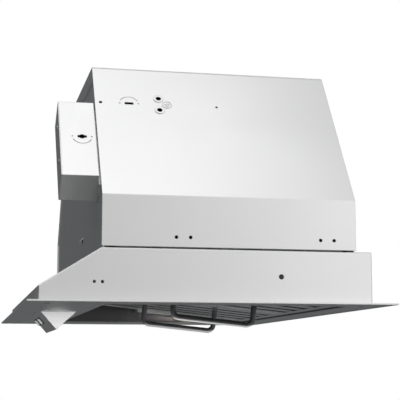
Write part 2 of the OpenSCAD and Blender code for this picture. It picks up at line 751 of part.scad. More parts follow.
// Rockers: bezel, key on two pivots, and switch body
pivot_in = 3;
pivot_r = 1;
pivot_fit = 0.08;
module rocker_bezels() {
    color(black) on_control_face() for (x = [fan_key_x, light_key_x]) translate([x, key_down, 0]) difference() {
        union() {
            translate([0, 0, -0.7]) cube([key_len + 5, key_w + 4, 1.4], center = true);
            translate([0, 0, 2.6]) cube([key_len + 1.4, key_w + 1.4, 5.2], center = true);
        }
        cube([key_len + 0.2, key_w + 0.2, 20], center = true);
        translate([0, 0, pivot_in]) drill_y(2 * (pivot_r + pivot_fit), key_w + 8);
    }
}
module rocker_key() {
    half = key_len / 2 - 0.7;
    translate([0, key_down, 0]) {
        along_y(key_w - 0.2) polygon([[-half, -3.1], [0, -1.6], [half, -3.1], [half - 0.8, pivot_in + 1.5],
            [-half + 0.8, pivot_in + 1.5]]);
        translate([0, 0, pivot_in]) drill_y(2 * pivot_r, key_w + 1.2);
    }
}
light_tip = 8;
module fan_rocker() {
    color(white) on_control_face() translate([fan_key_x, 0, 0]) rocker_key();
}
module light_rocker() {
    color(white) on_control_face() translate([light_key_x, 0, pivot_in]) rotate([0, light_tip, 0])
        translate([0, 0, -pivot_in]) rocker_key();
}
module switch_bodies() {
    color(black) on_control_face() for (x = [fan_key_x, light_key_x]) translate([x, key_down, 0]) {
        translate([-key_len / 2 + 1, -key_w / 2, 7]) cube([key_len - 2, key_w, 8]);
        for (s = [-1, 1]) translate([s * (key_len / 2 - 0.3) - 0.5, -key_w / 2, 5.2]) cube([1, key_w, 4]);
        for (x2 = [-6, 0, 6]) translate([x2 - 0.4, -2.4, 15]) cube([0.8, 4.8, 5]);
    }
}
module light_lens() {
    color(white) on_control_back() translate([-lens_len / 2 + 0.3, control_slant / 2 - lens_w / 2 + 0.3, -0.8])
        cube([lens_len - 0.6, lens_w - 0.6, 2.8]);
}
module light_module() {
    color(zinc) on_control_back() translate([-lens_len / 2 + 4, control_slant / 2 - lens_w / 2 - 1, 2])
        cube([lens_len - 8, lens_w + 2, 7]);
}

// Blower: spiral scroll, two sides with inlets, and a drum impeller turning about X
outlet_half = 75;
scroll_start = 84;
scroll_end = 125;
wheel_y = duct_y + outlet_half - scroll_end;
wheel_z = house_h - sheet - 151;
tongue_a = 90 + asin((wheel_y - duct_y + outlet_half) / scroll_start);
scroll_steps = 48;
side_t = 1;
spiral = [for (i = [0 : scroll_steps])
    let (a = tongue_a + (360 - tongue_a) * i / scroll_steps,
        r = scroll_start + (scroll_end - scroll_start) * i / scroll_steps)
    [wheel_y + r * cos(a), wheel_z + r * sin(a)]];
roof_z = house_h - sheet;
scroll_path = concat([[duct_y - outlet_half, roof_z]], spiral, [[duct_y + outlet_half, roof_z]]);
blower_screw_y = [duct_y - 60, duct_y + 60];
module blower_scroll() {
    color(zinc) along_x(scroll_w) bent(scroll_path, side_t, 0);
}
module blower_side() {
    x = scroll_w / 2;
    difference() {
        union() {
            translate([x + side_t / 2, 0, 0]) along_x(side_t) polygon(scroll_path);
            translate([x, duct_y - outlet_half, roof_z - side_t]) cube([16, 2 * outlet_half, side_t]);
        }
        translate([x, wheel_y, wheel_z]) drill_x(inlet_d + 8, 10);
        for (y = blower_screw_y) translate([x + 8, y, roof_z - 4]) cylinder(d = 3.2, h = 8);
    }
}
module blower_side_right() {
    color(zinc) blower_side();
}
module blower_side_left() {
    color(zinc) mirror([1, 0, 0]) blower_side();
}
module inlet_rings() {
    r = inlet_d / 2;
    color(zinc) for (s = [0, 1]) mirror([s, 0, 0]) translate([scroll_w / 2 + side_t, wheel_y, wheel_z])
        rotate([0, 90, 0]) rotate_extrude($fn = 96) {
            translate([r + 3, 0]) square([9, 1]);
            translate([r + 3.5, -3.5]) difference() {
                circle(r = 4.5, $fn = 48);
                circle(r = 3.5, $fn = 48);
                translate([0, -6]) square([6, 12]);
                translate([-6, -6]) square([12, 6]);
            }
            translate([r - 1, -6]) square([1, 2.5]);
        }
}
wheel_r = wheel_d / 2;
blade_depth = 12;
disc_t = 1.2;
ring_t = 2;
module on_wheel() {
    translate([0, wheel_y, wheel_z]) rotate([0, 90, 0]) children();
}
module impeller() {
    color(zinc) on_wheel() difference() {
        union() {
            cylinder(r = wheel_r - 0.6, h = disc_t, center = true, $fn = 96);
            cylinder(r = 13, h = 20, center = true);
        }
        cylinder(d = shaft_d, h = 30, center = true);
        for (a = [0 : 60 : 300]) rotate(a) translate([wheel_r * 0.52, 0, 0]) cylinder(d = 16, h = 4, center = true);
    }
}
module impeller_rings() {
    color(zinc) on_wheel() for (s = [-1, 1]) translate([0, 0, s * (wheel_w - ring_t) / 2]) difference() {
        cylinder(r = wheel_r, h = ring_t, center = true, $fn = 96);
        cylinder(r = wheel_r - blade_depth, h = 2 * ring_t, center = true, $fn = 96);
    }
}
// Two rows of curved blades between the disc and the two rings
module impeller_blades() {
    blade_len = wheel_w / 2 - ring_t - disc_t / 2;
    color(zinc) on_wheel() for (s = [-1, 1], i = [0 : blade_n - 1])
        rotate(i * 360 / blade_n) translate([0, 0, s * (disc_t + blade_len) / 2])
            linear_extrude(blade_len, center = true) blade_outline(wheel_r - blade_depth, wheel_r);
}
module blade_outline(ri, ro) {
    curve = [for (k = [0 : 4]) let (u = k / 4) [ri + 0.4 + (ro - ri - 1.6) * u, 5 * u * u]];
    polygon(concat(curve, backwards(shifted(curve, 0.8))));
}
module motor_shaft() {
    color(zinc) translate([-14, wheel_y, wheel_z]) drill_x(shaft_d, 56);
}
motor_x0 = -scroll_w / 2 - side_t - 3;
motor_len = 54;
module motor() {
    r = motor_d / 2;
    color(black) difference() {
        translate([motor_x0, wheel_y, wheel_z]) rotate([0, 90, 0]) rotate_extrude($fn = 96)
            polygon([[0, -14], [14, -14], [18, -10], [r - 8, -8], [r - 1.5, -4], [r - 1.5, 0], [r, 0],
                [r, motor_len - 8], [r - 6, motor_len - 2], [16, motor_len], [0, motor_len]]);
        translate([-14, wheel_y, wheel_z]) drill_x(shaft_d + 1, 56.6);
        for (a = [0 : 30 : 330]) translate([motor_x0, wheel_y, wheel_z]) rotate([a, 0, 0])
            translate([-6, r - 14, -3]) cube([12, 7, 6], center = false);
    }
}
module motor_bracket() {
    r = motor_d / 2;
    color(zinc) translate([motor_x0, wheel_y, wheel_z]) rotate([0, 90, 0]) {
        difference() {
            union() {
                cylinder(r = r + 4, h = 3);
                for (a = [60, 180, 300]) rotate(a) translate([0, -7, 0]) cube([inlet_d / 2 + 22, 14, 1.2]);
            }
            translate([0, 0, -1]) cylinder(r = r + touch, h = 6, $fn = 96);
        }
        for (a = [60, 180, 300]) rotate(a) translate([inlet_d / 2 + 13, -7, 0]) cube([9, 14, 3]);
        for (a = [0, 120, 240]) rotate(a) translate([r - 1.2, -4, -1.2]) cube([5, 8, 1.2]);
    }
}
// Control box and capacitor on the inside of the housing front, left of the blower
control_box_w = 120;
control_box_x = -top_x - 51;
control_box_z = canopy_h + 35;
module control_box() {
    color(black) translate([control_box_x, wall_y0 + sheet, control_box_z]) difference() {
        cube([control_box_w, 40, 80]);
        for (z = [15, 35, 55]) translate([control_box_w - 2, 11, z]) cube([4, 18, 6]);
    }
}
module capacitor() {
    color(zinc) translate([control_box_x + control_box_w + 30, wall_y0 + sheet + 17, control_box_z + 12]) {
        drill_x(30, 46);
        translate([-4, 0, -17]) difference() {
            translate([-8, -17, 0]) cube([16, 10, 34]);
            translate([0, 0, 17]) drill_x(30.6, 30);
        }
    }
}
module blower_screws() {
    color(zinc) for (s = [-1, 1], y = blower_screw_y)
        translate([s * (scroll_w / 2 + 8), y, roof_z - 5]) pan_screw(3, 5 + sheet, 7, 2);
}

bottom_pan();
canopy_front();
canopy_rear();
canopy_end_right();
canopy_end_left();
joining_frame();
housing_end_right();
housing_end_left();
housing_front();
housing_rear();
top_panel();
duct_collar();
damper_rod();
damper_flap_front();
damper_flap_rear();
collar_screws();
junction_box();
junction_box_bracket();
junction_box_cover();
junction_cover_screws();
front_rail();
rear_rail();
side_baffle_right();
side_baffle_left();
centre_bar();
side_springs();
filter_right_frame();
filter_right_baffles();
filter_right_handle();
filter_left_frame();
filter_left_baffles();
filter_left_handle();
control_housing();
control_end_caps();
rocker_bezels();
fan_rocker();
light_rocker();
switch_bodies();
light_lens();
light_module();
blower_scroll();
blower_side_right();
blower_side_left();
inlet_rings();
impeller();
impeller_rings();
impeller_blades();
motor_shaft();
motor();
motor_bracket();
control_box();
capacitor();
blower_screws();
pan_screws();
side_plugs();
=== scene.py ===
"""Looks for a range hood insert: brushed sheets, filters, duct parts, controls and a studio."""

import math
from collections import namedtuple

import bmesh
import bpy
from bpy.props import FloatProperty, FloatVectorProperty, IntProperty, PointerProperty
from mathutils import Matrix, Vector


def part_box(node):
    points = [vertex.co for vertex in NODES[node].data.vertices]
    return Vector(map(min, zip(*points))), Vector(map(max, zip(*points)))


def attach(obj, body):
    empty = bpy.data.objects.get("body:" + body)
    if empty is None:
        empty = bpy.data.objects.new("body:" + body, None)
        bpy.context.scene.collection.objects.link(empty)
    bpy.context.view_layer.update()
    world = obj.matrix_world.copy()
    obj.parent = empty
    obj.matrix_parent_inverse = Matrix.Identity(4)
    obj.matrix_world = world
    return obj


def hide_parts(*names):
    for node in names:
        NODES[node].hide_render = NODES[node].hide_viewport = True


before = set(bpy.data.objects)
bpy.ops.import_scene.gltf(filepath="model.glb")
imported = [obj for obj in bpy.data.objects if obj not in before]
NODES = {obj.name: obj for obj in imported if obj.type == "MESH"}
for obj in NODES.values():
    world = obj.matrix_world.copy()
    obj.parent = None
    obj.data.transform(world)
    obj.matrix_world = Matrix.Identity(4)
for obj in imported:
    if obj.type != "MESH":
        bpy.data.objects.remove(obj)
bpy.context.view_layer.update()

bl_info = {
    "name": "Range hood insert",
    "version": (1, 0, 0),
    "blender": (4, 5, 0),
    "location": "View3D > Sidebar > Hood",
    "description": "Finishes, screw heads and studio for a range hood insert",
    "category": "Object",
}


# --- CAD nodes that share a finish ---

OUTER_SHEETS = ["canopy_front", "canopy_rear", "canopy_end_right", "canopy_end_left",
                "housing_end_right", "housing_end_left", "housing_front", "housing_rear",
                "top_panel", "junction_box", "junction_box_cover"]
PAN_SHEETS = ["bottom_pan", "control_housing"]
CAP_SHEETS = ["control_end_caps"]
OPENING_SHEETS = ["front_rail", "rear_rail", "side_baffle_right", "side_baffle_left", "centre_bar"]
FILTER_FRAMES = ["filter_right_frame", "filter_left_frame"]
FILTER_BAFFLES = ["filter_right_baffles", "filter_left_baffles"]
FILTER_BARS = ["filter_right_handle", "filter_left_handle"]
ZINC_SHEETS = ["joining_frame", "duct_collar", "damper_flap_front", "damper_flap_rear",
               "junction_box_bracket", "light_module", "blower_scroll", "blower_side_right",
               "blower_side_left", "inlet_rings", "impeller", "impeller_rings", "impeller_blades",
               "motor_bracket"]
BRIGHT_STEEL = ["damper_rod", "motor_shaft"]
BLACK_MOULDINGS = ["rocker_bezels", "switch_bodies", "control_box"]
WHITE_KEYS = ["fan_rocker", "light_rocker"]


# --- Finishes that stay as they are: roughness is 0 for a sharp mirror and 1 for matt ---

OUTER_ROUGHNESS = 0.36
PAN_ROUGHNESS = 0.42
CAP_ROUGHNESS = 0.40
OPENING_ROUGHNESS = 0.42
FRAME_ROUGHNESS = 0.22
BAFFLE_ROUGHNESS = 0.24
ZINC_ROUGHNESS = 0.38
ROD_ROUGHNESS = 0.25
SPRING_ROUGHNESS = 0.30
CAN_ROUGHNESS = 0.30
SCREW_ROUGHNESS = 0.24
PAINT_ROUGHNESS = 0.30
MOULDING_ROUGHNESS = 0.45
KEY_ROUGHNESS = 0.28
PLUG_ROUGHNESS = 0.60
LENS_ROUGHNESS = 0.35
FLOOR_ROUGHNESS = 0.80

SPRING_COLOUR = (0.98, 0.98, 0.97)
CAN_COLOUR = (0.72, 0.72, 0.72)
MOTOR_COLOUR = (0.03, 0.032, 0.035)
SCREW_COLOUR = (0.70, 0.71, 0.72)
# Painted shade: the near-black rim of the side plugs stands for the shade of the hole round the
# button
PLUG_RIM_PAINTED_SHADE = (0.004, 0.004, 0.004)
PLUG_BUTTON_COLOUR = (0.05, 0.05, 0.05)
PLUG_BUTTON_RISE = 0.0003
LENS_COLOUR = (0.88, 0.88, 0.84)
# Painted highlight and shade: ridges of the lens prisms lighter, grooves darker
LENS_GROOVE_PAINTED_SHADE = (0.82, 0.82, 0.78)
LENS_RIDGE_PAINTED_HIGHLIGHT = (0.92, 0.92, 0.88)

# Noise scales, in features to the metre
GRAIN_ALONG = 3.5
CLOUDS = 5.5
CHANNEL_WEAR = 30.0
CRYSTALS = 140.0
ZINC_PITS = 600.0
LENS_PRISMS = 220.0
SCRATCHES = 900.0
MOULDING_SPECKS = 900.0
KEY_SPECKS = 700.0
RUBBED_PATCHES = 45.0
ORANGE_PEEL = 420.0
# How far the grain and the clouds move the roughness of a brushed sheet, either way
GRAIN_GLOSS = 0.02
CLOUD_GLOSS = 0.02
# The filter frames are of thinner sheet, so their grain and their folds are this much finer
FRAME_GRAIN = 0.8
FRAME_EDGE = 0.6
# Painted shade: brightness of the baffles' upright sides, deep in the channels, against their flat
# ones
UPRIGHT_PAINTED_SHADE = 0.4

# Sockets of a Mix node, which has one set for numbers and one for colours
MIX_FACTOR = 0
MIX_NUMBERS_IN, MIX_NUMBER_OUT = (2, 3), 0
MIX_COLOURS_IN, MIX_COLOUR_OUT = (6, 7), 2


# --- Screws: radius and height of the head, radius of the shank ---

ScrewSize = namedtuple("ScrewSize", "head_r head_h shank_r")
PAN_SCREW = ScrewSize(0.0040, 0.0016, 0.0016)
COLLAR_SCREW = ScrewSize(0.0032, 0.0020, 0.0015)
BLOWER_SCREW = ScrewSize(0.0035, 0.0020, 0.0015)
COVER_SCREW = ScrewSize(0.0035, 0.0020, 0.0015)

# Rings of vertices on a head, and how much of a full dome the head is
HEAD_RINGS = 14
HEAD_DOME = 0.82
# The cross recess, as shares of the head's radius, and how steep its ends and walls are
CROSS_HALF_WIDTH = 0.17
CROSS_REACH = 0.68
CROSS_END_POWER = 4
CROSS_WALL = 1.8
# The tip starts at this share of the shank and ends at this share of its radius
TIP_START = 0.9
TIP_WIDTH = 0.5
# Degrees that the first screw of a node is turned by, and each one after it
FIRST_TURN = 23.0
NEXT_TURN = 31.0


# --- Stage ---

# The camera, fitted to the photograph
CAMERA_PLACE = (1.9315, -0.3429, -0.0862)
CAMERA_RISE = 8.128
CAMERA_TURN = 11.79
SENSOR_WIDTH = 36.0

FLOOR_SEGMENTS = 96
# Where the steel mirrors it, the floor turns to this colour between these two places along X
NEAR_FLOOR_IN_STEEL = (0.30, 0.30, 0.30)
FLOOR_TURNS_PALE = (0.3, 1.5)

# The room as the steel mirrors it: a sum of parts, each a product of soft steps. A step is
# the axis of the mirrored direction, where it starts and ends, and the value on either side.
ROOM = {
    "above": (("Z", 0.05, 0.95, 0.03, 0.66), ("Y", -0.9, 0.0, 0.25, 1.0),
              ("Y", 0.0, 0.6, 1.0, 1.25), ("X", -0.4, 0.6, 0.55, 1.2)),
    "beside": (("X", 0.35, 1.0, 0.0, 0.375), ("Y", 0.0, 0.2, 1.15, 0.8),
               ("Y", 0.25, 0.45, 1.0, 1.6), ("Z", -0.02, 0.13, 2.1, 1.0)),
    "below": (("Z", -0.25, 0.06, 0.38, 0.0), ("Y", -0.4, 0.8, 0.6, 1.4)),
    "behind": (("X", -1.0, -0.5, 0.09, 0.0),),
    "before": (("Y", -1.0, -0.5, 0.04, 0.0),),
    "beyond": (("Y", 0.55, 0.95, 0.0, 0.5),),
    "high_front": (("Z", 0.50, 0.80, 0.0, 0.3), ("Y", -0.6, -0.3, 1.0, 0.0)),
}
# The room turns from a cool tint to white over this step
ROOM_TINT_STEP = ("X", -0.6, 0.1, 0.0, 1.0)
COOL_TINT = (0.93, 1.0, 1.02, 1.0)
WHITE = (1.0, 1.0, 1.0, 1.0)

# Area lamps: "power" names the setting that holds it, "mirrored" says whether the steel shows
# the lamp, and "only_on" limits the lamp to those nodes.
Lamp = namedtuple("Lamp", "name place aim size power mirrored only_on spread",
                  defaults=(True, (), math.pi))
LAMPS = (
    Lamp("top_softbox", (0.75, -0.65, 2.2), (0.0, -0.1, 0.1), (2.6, 2.2), "top_light"),
    Lamp("side_softbox", (3.2, 1.9, 0.9), (0.2, 0.0, 0.1), (2.2, 2.2), "side_light"),
    Lamp("low_strip", (0.50, 0.15, -0.54), (0.55, 0.15, 0.0), (0.9, 1.8), "strip_light",
         only_on=FILTER_BARS),
    Lamp("cap_light", (1.7, 0.05, -0.16), (0.3, -0.2, -0.04), (0.9, 0.6), "cap_light",
         only_on=CAP_SHEETS),
    Lamp("key_fill", (1.0, -1.6, -0.35), (0.0, -0.2, 0.0), (1.2, 0.8), "fill_light",
         mirrored=False, only_on=list(NODES)),
    Lamp("low_beam", (1.60, 0.34, -0.22), (-0.332, 0.040, -0.014), (0.06, 0.04), "beam_light",
         only_on=["side_baffle_left"], spread=math.radians(3.0)),
)


# --- Sizes and colours that a user would change ---

def colour(name, description, default):
    return FloatVectorProperty(name=name, description=description, default=default, min=0.0,
                               max=1.0, size=3, subtype="COLOR")


class HoodFinishSettings(bpy.types.PropertyGroup):
    sheet_colour: colour("Sheet steel", "Colour of the outer brushed sheet", (0.80, 0.80, 0.80))
    pan_colour: colour("Pan steel", "Colour of the pan and the control housing",
                       (0.86, 0.86, 0.855))
    # Painted shade: the rails and baffles inside the opening get a dark colour that stands for the
    # shade there
    opening_shade_colour: colour("Opening steel", "Colour of the rails and baffles inside the opening",
                           (0.17, 0.17, 0.17))
    filter_colour: colour("Filter steel", "Colour of the filter frames", (0.84, 0.84, 0.83))
    baffle_colour: colour("Baffle steel", "Colour of the flat sides of the baffles",
                          (0.97, 0.97, 0.96))
    zinc_colour: colour("Zinc", "Colour of the zinc coated parts", (0.60, 0.61, 0.62))
    bar_colour: colour("Handle bar", "Colour of the filter handles", (0.012, 0.012, 0.013))
    key_colour: colour("Rocker key", "Colour of the switch keys", (0.98, 0.98, 0.96))
    # Painted light: the end caps are the sheet's steel painted brighter, for the light that falls
    # on them
    cap_lit_colour: colour("End cap", "Colour of the end caps of the control housing",
                       (0.99, 0.99, 0.98))
    moulding_colour: colour("Black moulding", "Colour of bezels, switches and boxes",
                            (0.022, 0.022, 0.024))
    grain_pitch: FloatProperty(name="Grain pitch",
                               description="Distance between brush strokes on the sheet",
                               default=0.0011, min=0.0003, max=0.005, unit="LENGTH", precision=4)
    edge_round: FloatProperty(name="Edge rounding",
                              description="Radius that catches light along folded edges",
                              default=0.0012, min=0.0, max=0.004, unit="LENGTH", precision=4)


class HoodScrewSettings(bpy.types.PropertyGroup):
    recess_depth: FloatProperty(name="Recess depth",
                                description="Depth of the cross recess in a screw head",
                                default=0.0011, min=0.0002, max=0.002, unit="LENGTH", precision=4)
    segments: IntProperty(name="Segments", description="Segments round a screw head", default=48,
                          min=16, max=96)


class HoodStageSettings(bpy.types.PropertyGroup):
    floor_colour: colour("Floor", "Colour of the floor", (0.86, 0.86, 0.85))
    floor_in_steel: colour("Floor in the steel",
                           "Colour of the floor under the hood where the steel mirrors it",
                           (0.22, 0.225, 0.23))
    floor_glow: FloatProperty(name="Floor glow",
                              description="Brightness that the camera alone sees in the floor",
                              default=0.30, min=0.0, max=1.0)
    floor_radius: FloatProperty(name="Floor radius", description="Radius of the round floor",
                                default=6.0, min=1.0, max=12.0, unit="LENGTH")
    floor_drop: FloatProperty(name="Floor drop",
                              description="Distance of the floor below the flange",
                              default=0.55, min=0.05, max=3.0, unit="LENGTH")
    top_light: FloatProperty(name="Top softbox",
                             description="Power of the softbox above the hood",
                             default=12.5, min=0.0, max=400.0, unit="POWER")
    side_light: FloatProperty(name="Side softbox",
                              description="Power of the softbox on the right",
                              default=11.0, min=0.0, max=400.0, unit="POWER")
    strip_light: FloatProperty(name="Strip light",
                               description="Power of the low lamp that glints in the handles",
                               default=26.0, min=0.0, max=200.0, unit="POWER")
    cap_light: FloatProperty(name="End cap light",
                             description="Power of the lamp that lights the end caps alone",
                             default=2.6, min=0.0, max=100.0, unit="POWER")
    beam_light: FloatProperty(name="Low beam",
                              description="Power of the beam on the far side of the opening",
                              default=0.026, min=0.0, max=1.0, unit="POWER", precision=3)
    fill_light: FloatProperty(name="Fill light",
                              description="Power of the fill that the matt parts alone show",
                              default=12.0, min=0.0, max=100.0, unit="POWER")
    lens: FloatProperty(name="Lens", description="Focal length of the camera",
                        default=104.95, min=20.0, max=300.0, unit="CAMERA")


# --- Shader building ---

class Finish:
    """One procedural finish: a principled shader and the nodes that feed it."""

    def __init__(self, name, base, metallic, roughness, coat=0.0):
        self.material = bpy.data.materials.new(name)
        self.material.use_nodes = True
        self.tree = self.material.node_tree
        self.shader = self.tree.nodes["Principled BSDF"]
        self.shader.inputs["Base Color"].default_value = (*base, 1.0)
        self.shader.inputs["Metallic"].default_value = metallic
        self.shader.inputs["Roughness"].default_value = roughness
        self.shader.inputs["Coat Weight"].default_value = coat
        self.place = self.add("ShaderNodeTexCoord").outputs["Object"]

    def add(self, kind, **values):
        node = self.tree.nodes.new(kind)
        for key, value in values.items():
            setattr(node, key, value)
        return node

    def join(self, source, target):
        self.tree.links.new(source, target)

    def noise(self, scale, detail=2.0, stretch=(1.0, 1.0, 1.0), rough=0.5):
        spread = self.add("ShaderNodeMapping")
        spread.inputs["Scale"].default_value = stretch
        self.join(self.place, spread.inputs["Vector"])
        texture = self.add("ShaderNodeTexNoise")
        texture.inputs["Scale"].default_value = scale
        texture.inputs["Detail"].default_value = detail
        texture.inputs["Roughness"].default_value = rough
        self.join(spread.outputs["Vector"], texture.inputs["Vector"])
        return texture.outputs["Fac"]

    def range(self, source, low, high, from_low=0.3, from_high=0.7):
        """Spread a value over another range. Noise lies mostly between 0.3 and 0.7."""
        node = self.add("ShaderNodeMapRange")
        self.join(source, node.inputs["Value"])
        node.inputs["From Min"].default_value = from_low
        node.inputs["From Max"].default_value = from_high
        node.inputs["To Min"].default_value = low
        node.inputs["To Max"].default_value = high
        return node.outputs["Result"]

    def mix(self, factor, first, second):
        node = self.add("ShaderNodeMix", data_type="FLOAT")
        self.join(factor, node.inputs[MIX_FACTOR])
        for socket, source in zip(MIX_NUMBERS_IN, (first, second)):
            self.join(source, node.inputs[socket])
        return node.outputs[MIX_NUMBER_OUT]

    def maths(self, operation, first, second):
        node = self.add("ShaderNodeMath", operation=operation)
        for index, value in enumerate((first, second)):
            if isinstance(value, (int, float)):
                node.inputs[index].default_value = value
            else:
                self.join(value, node.inputs[index])
        return node.outputs[0]

    def blend_colours(self, factor, first, second):
        node = self.add("ShaderNodeMix", data_type="RGBA")
        self.join(factor, node.inputs[MIX_FACTOR])
        for socket, value in zip(MIX_COLOURS_IN, (first, second)):
            node.inputs[socket].default_value = (*value, 1.0)
        return node.outputs[MIX_COLOUR_OUT]

    def tint(self, factor, dark, light):
        self.join(self.blend_colours(factor, dark, light), self.shader.inputs["Base Color"])

    def roughen(self, source, low, high, **limits):
        self.join(self.range(source, low, high, **limits), self.shader.inputs["Roughness"])

    def relief(self, height, strength, distance, edge=0.0):
        bump = self.add("ShaderNodeBump")
        bump.inputs["Strength"].default_value = strength
        bump.inputs["Distance"].default_value = distance
        self.join(height, bump.inputs["Height"])
        if edge > 0.0:
            rounding = self.add("ShaderNodeBevel", samples=4)
            rounding.inputs["Radius"].default_value = edge
            self.join(rounding.outputs["Normal"], bump.inputs["Normal"])
        self.join(bump.outputs["Normal"], self.shader.inputs["Normal"])

    def facing(self, axis):
        """1 where the surface faces along the given axis, either way, and 0 elsewhere."""
        split = self.add("ShaderNodeSeparateXYZ")
        self.join(self.add("ShaderNodeNewGeometry").outputs["True Normal"], split.inputs[0])
        size = self.maths("ABSOLUTE", split.outputs[axis], 0.0)
        return self.maths("GREATER_THAN", size, 0.5)


def scaled(value, factor):
    return tuple(min(1.0, part * factor) for part in value)


def brushed_steel(name, base, roughness, pitch, edge):
    """Sheet with a brushed grain along each panel, faint cloudy wear and bright folded edges."""
    finish = Finish(name, base, 1.0, roughness)
    across = 1.0 / pitch
    grain_x = finish.noise(1.0, detail=3.0, stretch=(GRAIN_ALONG, across, across), rough=0.6)
    grain_y = finish.noise(1.0, detail=3.0, stretch=(across, GRAIN_ALONG, across), rough=0.6)
    grain = finish.mix(finish.facing("X"), grain_x, grain_y)
    cloud = finish.noise(CLOUDS, detail=3.0)
    average = finish.maths("MULTIPLY", finish.maths("ADD", grain, cloud), 0.5)
    finish.tint(average, dark=scaled(base, 0.975), light=scaled(base, 1.015))
    rough = finish.maths("ADD",
                         finish.range(grain, roughness - GRAIN_GLOSS, roughness + GRAIN_GLOSS),
                         finish.range(cloud, -CLOUD_GLOSS, CLOUD_GLOSS))
    finish.join(rough, finish.shader.inputs["Roughness"])
    finish.shader.inputs["Anisotropic"].default_value = 0.35
    finish.relief(grain, strength=0.03, distance=0.0002, edge=edge)
    return finish.material


def baffle_steel(name, base, roughness):
    """Bright channel steel whose upright sides, deep in the channels, are painted dark as shade."""
    finish = Finish(name, base, 1.0, roughness)
    # Painted shade: the upright sides, facing along X, are darkened for the shade deep in the
    # channels
    finish.tint(finish.facing("X"), base, scaled(base, UPRIGHT_PAINTED_SHADE))
    wear = finish.noise(CHANNEL_WEAR, detail=3.0, stretch=(1.0, 0.1, 1.0))
    finish.roughen(wear, roughness - 0.03, roughness + 0.03)
    finish.relief(wear, strength=0.05, distance=0.0002)
    return finish.material


def ringed_plug(name, ring, button, face):
    """Press-in plug: a near-black rim, painted shade of the hole, round a paler button that stands
    proud of it.
    """
    finish = Finish(name, ring, 0.0, PLUG_ROUGHNESS)
    finish.shader.inputs["Specular IOR Level"].default_value = 0.15
    split = finish.add("ShaderNodeSeparateXYZ")
    finish.join(finish.place, split.inputs[0])
    outward = finish.maths("ABSOLUTE", split.outputs["X"], 0.0)
    finish.tint(finish.maths("GREATER_THAN", outward, face), ring, button)
    finish.relief(finish.noise(MOULDING_SPECKS), strength=0.15, distance=0.0001)
    return finish.material


def spangled_zinc(name, base, roughness):
    """Zinc coated steel: pale crystals of slightly different grey and gloss."""
    finish = Finish(name, base, 0.95, roughness)
    crystal = finish.add("ShaderNodeTexVoronoi")
    crystal.inputs["Scale"].default_value = CRYSTALS
    finish.join(finish.place, crystal.inputs["Vector"])
    shade = finish.add("ShaderNodeSeparateColor")
    finish.join(crystal.outputs["Color"], shade.inputs[0])
    finish.tint(shade.outputs["Red"], dark=scaled(base, 0.82), light=scaled(base, 1.12))
    finish.roughen(shade.outputs["Green"], roughness - 0.08, roughness + 0.1, from_low=0.0,
                   from_high=1.0)
    finish.relief(finish.noise(ZINC_PITS), strength=0.05, distance=0.0002)
    return finish.material


def turned_metal(name, base, roughness):
    """Plain bright metal of rods, springs and screws, with fine scratches."""
    finish = Finish(name, base, 1.0, roughness)
    scratch = finish.noise(SCRATCHES, detail=4.0, stretch=(1.0, 0.08, 1.0))
    finish.tint(scratch, dark=scaled(base, 0.85), light=scaled(base, 1.05))
    finish.roughen(scratch, roughness - 0.06, roughness + 0.12)
    finish.relief(scratch, strength=0.08, distance=0.0001)
    return finish.material


def bar_paint(name, base):
    """Smooth black paint with a faint orange-peel surface and rubbed patches."""
    finish = Finish(name, base, 0.0, PAINT_ROUGHNESS, coat=0.6)
    finish.shader.inputs["Coat Roughness"].default_value = 0.18
    rub = finish.noise(RUBBED_PATCHES, detail=5.0)
    finish.tint(rub, dark=base, light=scaled(base, 2.2))
    finish.roughen(rub, 0.24, 0.42)
    finish.relief(finish.noise(ORANGE_PEEL), strength=0.12, distance=0.0002)
    return finish.material


def moulded_plastic(name, base, roughness, specks):
    """Moulded plastic with a fine spark-eroded texture."""
    finish = Finish(name, base, 0.0, roughness)
    speck = finish.noise(specks)
    finish.tint(speck, dark=scaled(base, 0.9), light=scaled(base, 1.1))
    finish.roughen(speck, roughness - 0.05, roughness + 0.08)
    finish.relief(speck, strength=0.15, distance=0.0001, edge=0.0004)
    return finish.material


def milky_lens(name):
    """Frosted cover of the light strip, with fine prisms across it; their ridges are painted
    lighter and their grooves darker, as painted highlight and shade.
    """
    finish = Finish(name, LENS_COLOUR, 0.0, LENS_ROUGHNESS)
    ribs = finish.add("ShaderNodeTexWave", bands_direction="X")
    ribs.inputs["Scale"].default_value = LENS_PRISMS
    finish.join(finish.place, ribs.inputs["Vector"])
    finish.tint(ribs.outputs["Fac"], dark=LENS_GROOVE_PAINTED_SHADE, light=LENS_RIDGE_PAINTED_HIGHLIGHT)
    finish.shader.inputs["Subsurface Weight"].default_value = 0.2
    finish.shader.inputs["Subsurface Radius"].default_value = (0.002, 0.002, 0.002)
    finish.relief(ribs.outputs["Fac"], strength=0.2, distance=0.0003)
    return finish.material


def dress(names, material):
    """Give a finish to carried-over CAD nodes."""
    for name in names:
        part = NODES[name]
        if not part.material_slots:
            part.data.materials.append(material)
        for holder in part.material_slots:
            holder.material = material


# --- Operators: one for each piece or group of like pieces ---

class HOOD_OT_outer_sheets(bpy.types.Operator):
    """Brush the canopy, housing, junction box, pan, control housing and its end caps"""
    bl_idname = "hood.outer_sheets"
    bl_label = "Outer sheets"

    def execute(self, context):
        look = context.scene.hood_finish
        grain = (look.grain_pitch, look.edge_round)
        dress(OUTER_SHEETS, brushed_steel("hood_sheet_steel", tuple(look.sheet_colour),
                                          OUTER_ROUGHNESS, *grain))
        dress(PAN_SHEETS, brushed_steel("hood_pan_steel", tuple(look.pan_colour),
                                        PAN_ROUGHNESS, *grain))
        # Painted light: the caps' steel is painted brighter than the sheets
        dress(CAP_SHEETS, brushed_steel("hood_cap_steel", tuple(look.cap_lit_colour),
                                        CAP_ROUGHNESS, *grain))
        return {"FINISHED"}


